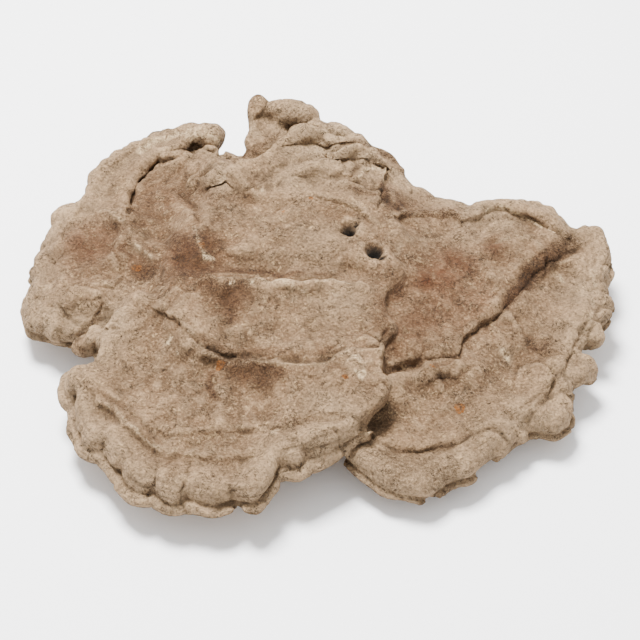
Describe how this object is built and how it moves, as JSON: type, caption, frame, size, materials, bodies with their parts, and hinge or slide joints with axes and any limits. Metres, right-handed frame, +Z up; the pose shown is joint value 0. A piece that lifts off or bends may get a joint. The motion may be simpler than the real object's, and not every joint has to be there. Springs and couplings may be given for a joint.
{
  "type": "bracket fungus",
  "caption": "Large dry bracket fungus, a broad fan of fused lobes with scalloped pale rims, cut off flat underneath where it grew on the wood.",
  "frame": {"origin": "middle of the flat cut underneath, where the fungus grew on the wood", "axes": "+X along the longest width, to the right of someone facing its front rim; +Y to the torn, steep back; +Z up, out of the upper side"},
  "size_m": [0.4691, 0.3943, 0.1103],
  "materials": {
    "fungus": "dry, rough, unpolished"
  },
  "bodies": {
    "root": {"bracket": "fungus"}
  },
  "joints": []
}
